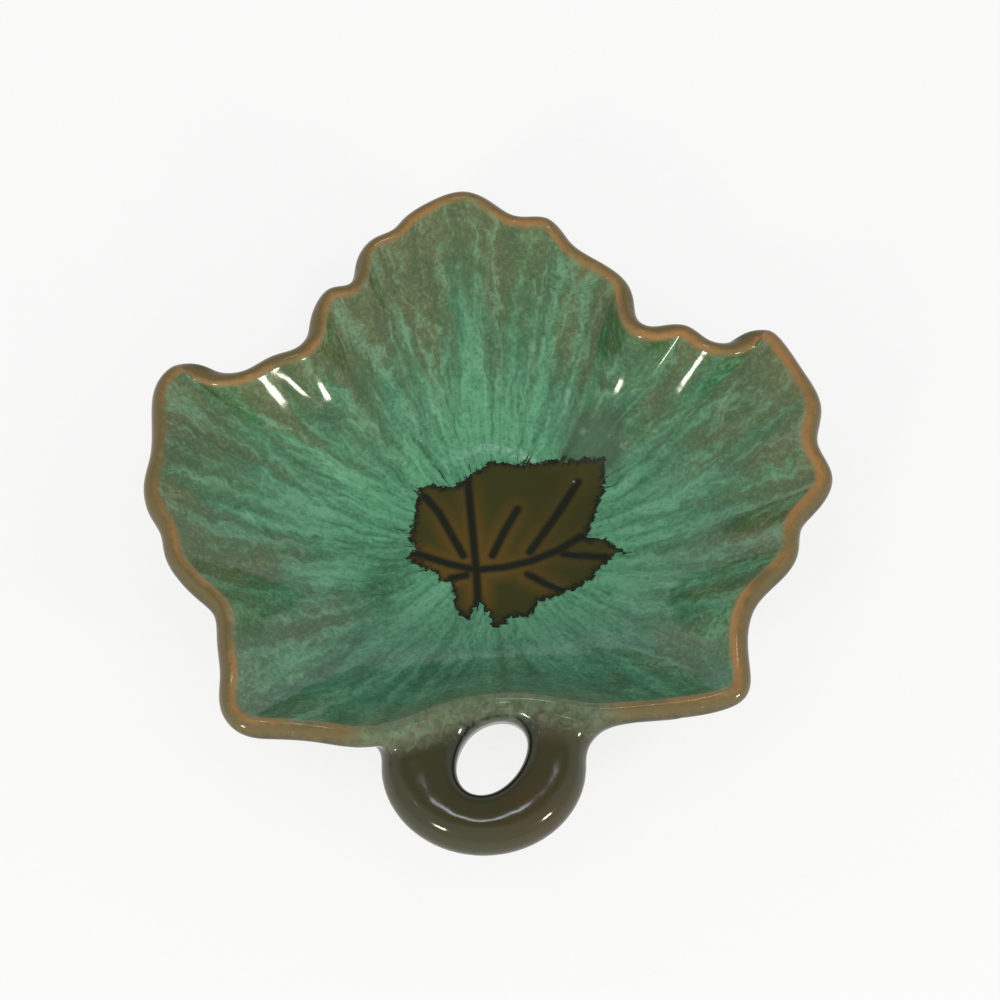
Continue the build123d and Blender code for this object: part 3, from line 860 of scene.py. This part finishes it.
def vein_relief_tree():
    """Sinks the glaze over the veins, and keeps how far each point is from one."""
    tree = bpy.data.node_groups.new("Vein relief", "GeometryNodeTree")
    for name, kind in (
        ("Coat", "Geometry"), ("Veins", "Object"), ("Width", "Float"), ("Depth", "Float"),
        ("Material", "Material"),
    ):
        tree.interface.new_socket(name, in_out="INPUT", socket_type=f"NodeSocket{kind}")
    tree.interface.new_socket("Coat", in_out="OUTPUT", socket_type="NodeSocketGeometry")
    fields = dict(add(tree, "NodeGroupInput").outputs.items())
    follow(tree, fields, RELIEF_STEPS)
    coat = fields["Coat"]
    for kind, inputs in (
        ("StoreNamedAttribute", {"Name": "vein", "Value": fields["near"]}),
        ("SetPosition", {"Offset": fields["move"]}),
        ("RealizeInstances", {}),
        ("SetMaterial", {"Material": fields["Material"]}),
    ):
        coat = add(tree, f"GeometryNode{kind}", {"Geometry": coat, **inputs}).outputs[0]
    add(tree, "NodeGroupOutput", {"Coat": coat})
    return tree


class DISH_OT_inside_glaze(bpy.types.Operator):
    """Builds the green glaze inside the leaf and the amber glaze over its floor"""

    bl_idname = "dish.inside_glaze"
    bl_label = "Inside glazes"

    def execute(self, context):
        shape = context.scene.dish_shape
        wall = Wall(shape)
        levels = list(np.linspace(-1, 0, 41)[:-1]) + list(np.linspace(0, 1, 64) ** 0.9)
        rows = [wall.row(up, 90) for up in levels]
        rows += [wall.row(1, degrees) for degrees in (84, 78, 72, 66, SPLIT_DEGREES)]
        coat = rows_mesh("inside_coat", rows, flipped=False)
        common_values(coat, wall, *flow_rows(rows, inside=True))
        material = glaze_material("green_flow_glaze")
        veins = vein_lines(shape)
        grow(
            coat, vein_relief_tree(), veins=veins, width=shape.vein_width, depth=shape.vein_depth,
            material=material,
        )
        shade_smooth(coat)
        bpy.data.objects.remove(veins)
        window = read(coat, "window")
        within = np.array([window[list(p.vertices)].mean() > 0 for p in coat.data.polygons])
        green = part_of(coat, "green_glaze_coat", ~within)
        amber = part_of(coat, "amber_glaze_pool", within)
        bpy.data.objects.remove(coat)
        hand_over(green, "green_glaze", "green_glaze")
        hand_over(amber, "amber_glaze", "amber_glaze")
        return {"FINISHED"}


class DISH_OT_outer_glaze(bpy.types.Operator):
    """Builds the olive-brown glaze over the lip, the outside and the underside"""

    bl_idname = "dish.outer_glaze"
    bl_label = "Outer glaze"

    def execute(self, context):
        wall = Wall(context.scene.dish_shape)
        levels = list(np.linspace(-1, 0, 13)[:-1]) + list(np.linspace(0, 1, 56))
        rows = [wall.row(up, -90) for up in levels]
        rows += [wall.row(1, degrees) for degrees in range(-80, SPLIT_DEGREES + 1, 10)]
        coat = rows_mesh("outer_glaze_coat", rows, flipped=True)
        from_lip, flow = flow_rows(rows, inside=False)
        common_values(coat, wall, from_lip, flow)
        store(coat, "vein", np.full(len(from_lip), FAR))
        shade_smooth(coat)
        coat.data.materials.append(glaze_material("olive_brown_glaze"))
        hand_over(coat, "olive_glaze", "outer_glaze")
        return {"FINISHED"}


class DISH_OT_loop_glaze(bpy.types.Operator):
    """Builds the glaze over the finger loop, which runs softly into the bowl"""

    bl_idname = "dish.loop_glaze"
    bl_label = "Loop glaze"

    def execute(self, context):
        shape, loop = context.scene.dish_shape, context.scene.dish_loop
        wall = Wall(shape)
        step = GRID_STEP * MM
        low = np.array(GRID_LOW) * MM
        sizes = [int(n / GRID_STEP) for n in GRID_SIZE]
        grid = np.stack(np.meshgrid(*[np.arange(n) for n in sizes], indexing="ij"), -1)
        spots = low + grid.reshape(-1, 3) * step
        to_loop = loop_field(spots, wall, loop)

        # How far each spot is from the bowl's glaze, and how far inside the wall's middle
        tree = wall.upper_tree()
        to_bowl = np.full(len(spots), FAR)
        inward = np.zeros(len(spots))
        for n in np.flatnonzero(to_loop < BOWL_REACH):
            spot = Vector(spots[n])
            near, normal, _, gap = tree.find_nearest(spot)
            to_bowl[n] = gap - shape.lip_radius + BOWL_SINK
            inward[n] = (spot - near).dot(normal * (1 if normal.z > 0 else -1))
        to_loop = np.maximum(to_loop, inward)

        # The two run softly together outside, more so at the loop's right side
        side = np.clip((spots[:, 0] - loop.centre_x) / loop.half_width, -1, 1) / 2 + 0.5
        blend = loop.left_blend + (loop.right_blend - loop.left_blend) * side
        fade = np.clip(FADE_START - inward / FADE_LENGTH, 0, 1)
        blend = np.maximum(blend * fade * fade * (3 - 2 * fade), SMALLEST_BLEND)
        soft = np.maximum(blend - np.abs(to_loop - to_bowl), 0) / blend
        field = np.minimum(to_loop, to_bowl) - soft**2 * blend / 4
        field = np.maximum(field, to_loop - BLEND_CUT).reshape(sizes)
        padded = np.pad(field[1:-1, 1:-1, 1:-1], 1, constant_values=FAR)
        points, faces = surface_net(padded, low, step)
        coat = mesh_object("loop_glaze_coat", points, faces)

        # The glaze's flow goes on from the lip, so each point takes that of the nearest wall
        levels = [(up, -90) for up in np.linspace(0.6, 1, 24)]
        levels += [(1, degrees) for degrees in range(-80, 90, 10)]
        levels += [(up, 90) for up in np.linspace(1, 0.8, 12)]
        rows = np.array([wall.row(up, degrees) for up, degrees in levels])
        steps = np.linalg.norm(np.diff(rows, axis=0), axis=2)
        along = np.concatenate([np.zeros((1, AROUND)), np.cumsum(steps, 0)])
        from_lip = (along - along[levels.index((1, SPLIT_DEGREES))]).reshape(-1)
        finder = KDTree(rows.shape[0] * AROUND)
        for n, point in enumerate(rows.reshape(-1, 3)):
            finder.insert(point, n)
        finder.balance()
        lip, flows = [], []
        for point in points:
            _, n, gap = finder.find(point)
            turn = (n % AROUND) * math.tau / AROUND
            away = from_lip[n] - max(gap - LIP_SLACK, 0)
            lip.append(away)
            flows.append((math.cos(turn) * FLOW_RING, math.sin(turn) * FLOW_RING, away))
        common_values(coat, wall, lip, flows)
        store(coat, "vein", np.full(len(points), FAR))
        smooth = coat.modifiers.new("Smooth", "SMOOTH")
        smooth.iterations = 4
        smooth.factor = 0.5
        shade_smooth(coat)
        coat.data.materials.append(glaze_material("loop_glaze"))
        bake(coat)
        hand_over(coat, "olive_glaze", "loop_glaze")
        return {"FINISHED"}


class DISH_OT_bare_clay(bpy.types.Operator):
    """Gives the bare clay of the foot and of the hidden body its finish"""

    bl_idname = "dish.bare_clay"
    bl_label = "Bare clay"

    def execute(self, context):
        material = fired_material("bare_stoneware", CLAY_STEPS, "clay", 0.85)
        for name in ("foot_ring", "leaf_bowl", "finger_loop"):
            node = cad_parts[name]
            node.data.materials.clear()
            node.data.materials.append(material)
        return {"FINISHED"}


class DISH_OT_stage(bpy.types.Operator):
    """Builds the table, the soft light and the camera"""

    bl_idname = "dish.stage"
    bl_label = "Stage"

    def execute(self, context):
        scene = context.scene
        look = scene.dish_stage
        scene.view_settings.view_transform = "Standard"
        turns = ((-1, -1), (1, -1), (1, 1), (-1, 1))
        corners = [(x * TABLE_REACH, y * TABLE_REACH, 0) for x, y in turns]
        floor = mesh_object("table", corners, [(0, 1, 2, 3)])
        material = bpy.data.materials.new("white_table")
        tree = empty_tree(material)
        rays = add(tree, "ShaderNodeLightPath").outputs
        seen = rays["Is Camera Ray"]
        for key in ("Is Glossy Ray", "Is Transmission Ray"):
            seen = add(
                tree, "ShaderNodeMath", {0: seen, 1: rays[key]}, operation="MAXIMUM"
            ).outputs[0]
        matte = add(tree, "ShaderNodeBsdfDiffuse", {"Color": look.floor}).outputs[0]
        glow = add(tree, "ShaderNodeEmission", {"Color": look.floor, "Strength": 1.0}).outputs[0]
        shown = add(tree, "ShaderNodeMixShader", {0: 0.8, 1: matte, 2: glow}).outputs[0]
        final = add(tree, "ShaderNodeMixShader", {0: seen, 1: matte, 2: shown}).outputs[0]
        add(tree, "ShaderNodeOutputMaterial", {"Surface": final})
        floor.data.materials.append(material)

        # An even sky with a darker part high at the back, which the dish's flat floor mirrors
        world = bpy.data.worlds.new("studio")
        tree = empty_tree(world)
        facing = add(tree, "ShaderNodeTexCoord").outputs["Generated"]
        near = add(
            tree, "ShaderNodeVectorMath", {0: facing, 1: (0, 0.5, 0.866)}, operation="DOT_PRODUCT"
        ).outputs["Value"]
        level = add(
            tree, "ShaderNodeMapRange",
            {
                "Value": near, "From Min": 0.7, "From Max": 0.93,
                "To Min": look.sky, "To Max": look.sky * DARK_SKY_SHARE,
            },
        ).outputs[0]
        sky = add(tree, "ShaderNodeBackground", {"Strength": level}).outputs[0]
        add(tree, "ShaderNodeOutputWorld", {"Surface": sky})
        scene.world = world

        # Name, degrees round from +X, degrees up, size in metres, power and tint
        lamps = (
            ("front_right_lamp", -42, 21, (0.17, 0.17), look.lamp, look.warm),
            ("front_left_lamp", -122, 27, (0.17, 0.17), look.lamp, look.warm),
            ("left_lamp", 168, 43, (0.005, 0.02), look.sparkle / 6, look.warm),
            ("high_right_lamp", -12, 69, (0.015, 0.03), look.sparkle, look.warm),
            ("high_left_lamp", -158, 57, (0.015, 0.03), look.sparkle, look.warm),
            ("ceiling_window", 90, 74.5, (0.10, 0.04), look.lamp / 18, look.cool),
        )
        middle = Vector((0, 0, 0.02))
        for name, azimuth, elevation, size, power, tint in lamps:
            turn, lift = math.radians(azimuth), math.radians(elevation)
            away = Vector((
                math.cos(turn) * math.cos(lift), math.sin(turn) * math.cos(lift), math.sin(lift)
            ))
            lamp = bpy.data.lights.new(name, "AREA")
            lamp.shape = "RECTANGLE"
            lamp.size, lamp.size_y = size
            lamp.energy = power
            lamp.color = tint[:3]
            made = new_object(name, lamp)
            made.location = middle + away * LAMP_DISTANCE
            made.rotation_euler = (-away).to_track_quat("-Z", "Y").to_euler()

        camera = new_object("camera", bpy.data.cameras.new("camera"))
        camera.data.sensor_width = SENSOR_WIDTH
        camera.data.lens = SENSOR_WIDTH * LENS_SHARE
        target = Vector(CAMERA_TARGET) * MM
        back = Vector((0, -math.cos(CAMERA_LIFT), math.sin(CAMERA_LIFT)))
        camera.location = target + back * CAMERA_DISTANCE
        camera.rotation_euler = (-back).to_track_quat("-Z", "Y").to_euler()
        scene.camera = camera
        return {"FINISHED"}


class DISH_PT_panel(bpy.types.Panel):
    """The ring dish's builders"""

    bl_label = "Ring dish"
    bl_space_type = "VIEW_3D"
    bl_region_type = "UI"
    bl_category = "Ring dish"

    def draw(self, context):
        for operator in OPERATORS:
            self.layout.operator(operator.bl_idname)


GROUPS = {
    "dish_shape": DishShape, "dish_loop": LoopShape, "dish_glaze": GlazeLook,
    "dish_stage": StageLook,
}
OPERATORS = (
    DISH_OT_stage, DISH_OT_inside_glaze, DISH_OT_outer_glaze, DISH_OT_loop_glaze,
    DISH_OT_bare_clay,
)


def register():
    for kind in (*GROUPS.values(), *OPERATORS, DISH_PT_panel):
        bpy.utils.register_class(kind)
    for name, kind in GROUPS.items():
        setattr(bpy.types.Scene, name, bpy.props.PointerProperty(type=kind))


def unregister():
    for name in GROUPS:
        delattr(bpy.types.Scene, name)
    for kind in reversed((*GROUPS.values(), *OPERATORS, DISH_PT_panel)):
        bpy.utils.unregister_class(kind)


def main():
    register()
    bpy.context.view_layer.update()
    bpy.ops.dish.stage()
    bpy.ops.dish.inside_glaze()
    bpy.ops.dish.outer_glaze()
    bpy.ops.dish.loop_glaze()
    bpy.ops.dish.bare_clay()


if __name__ == "__main__":
    main()
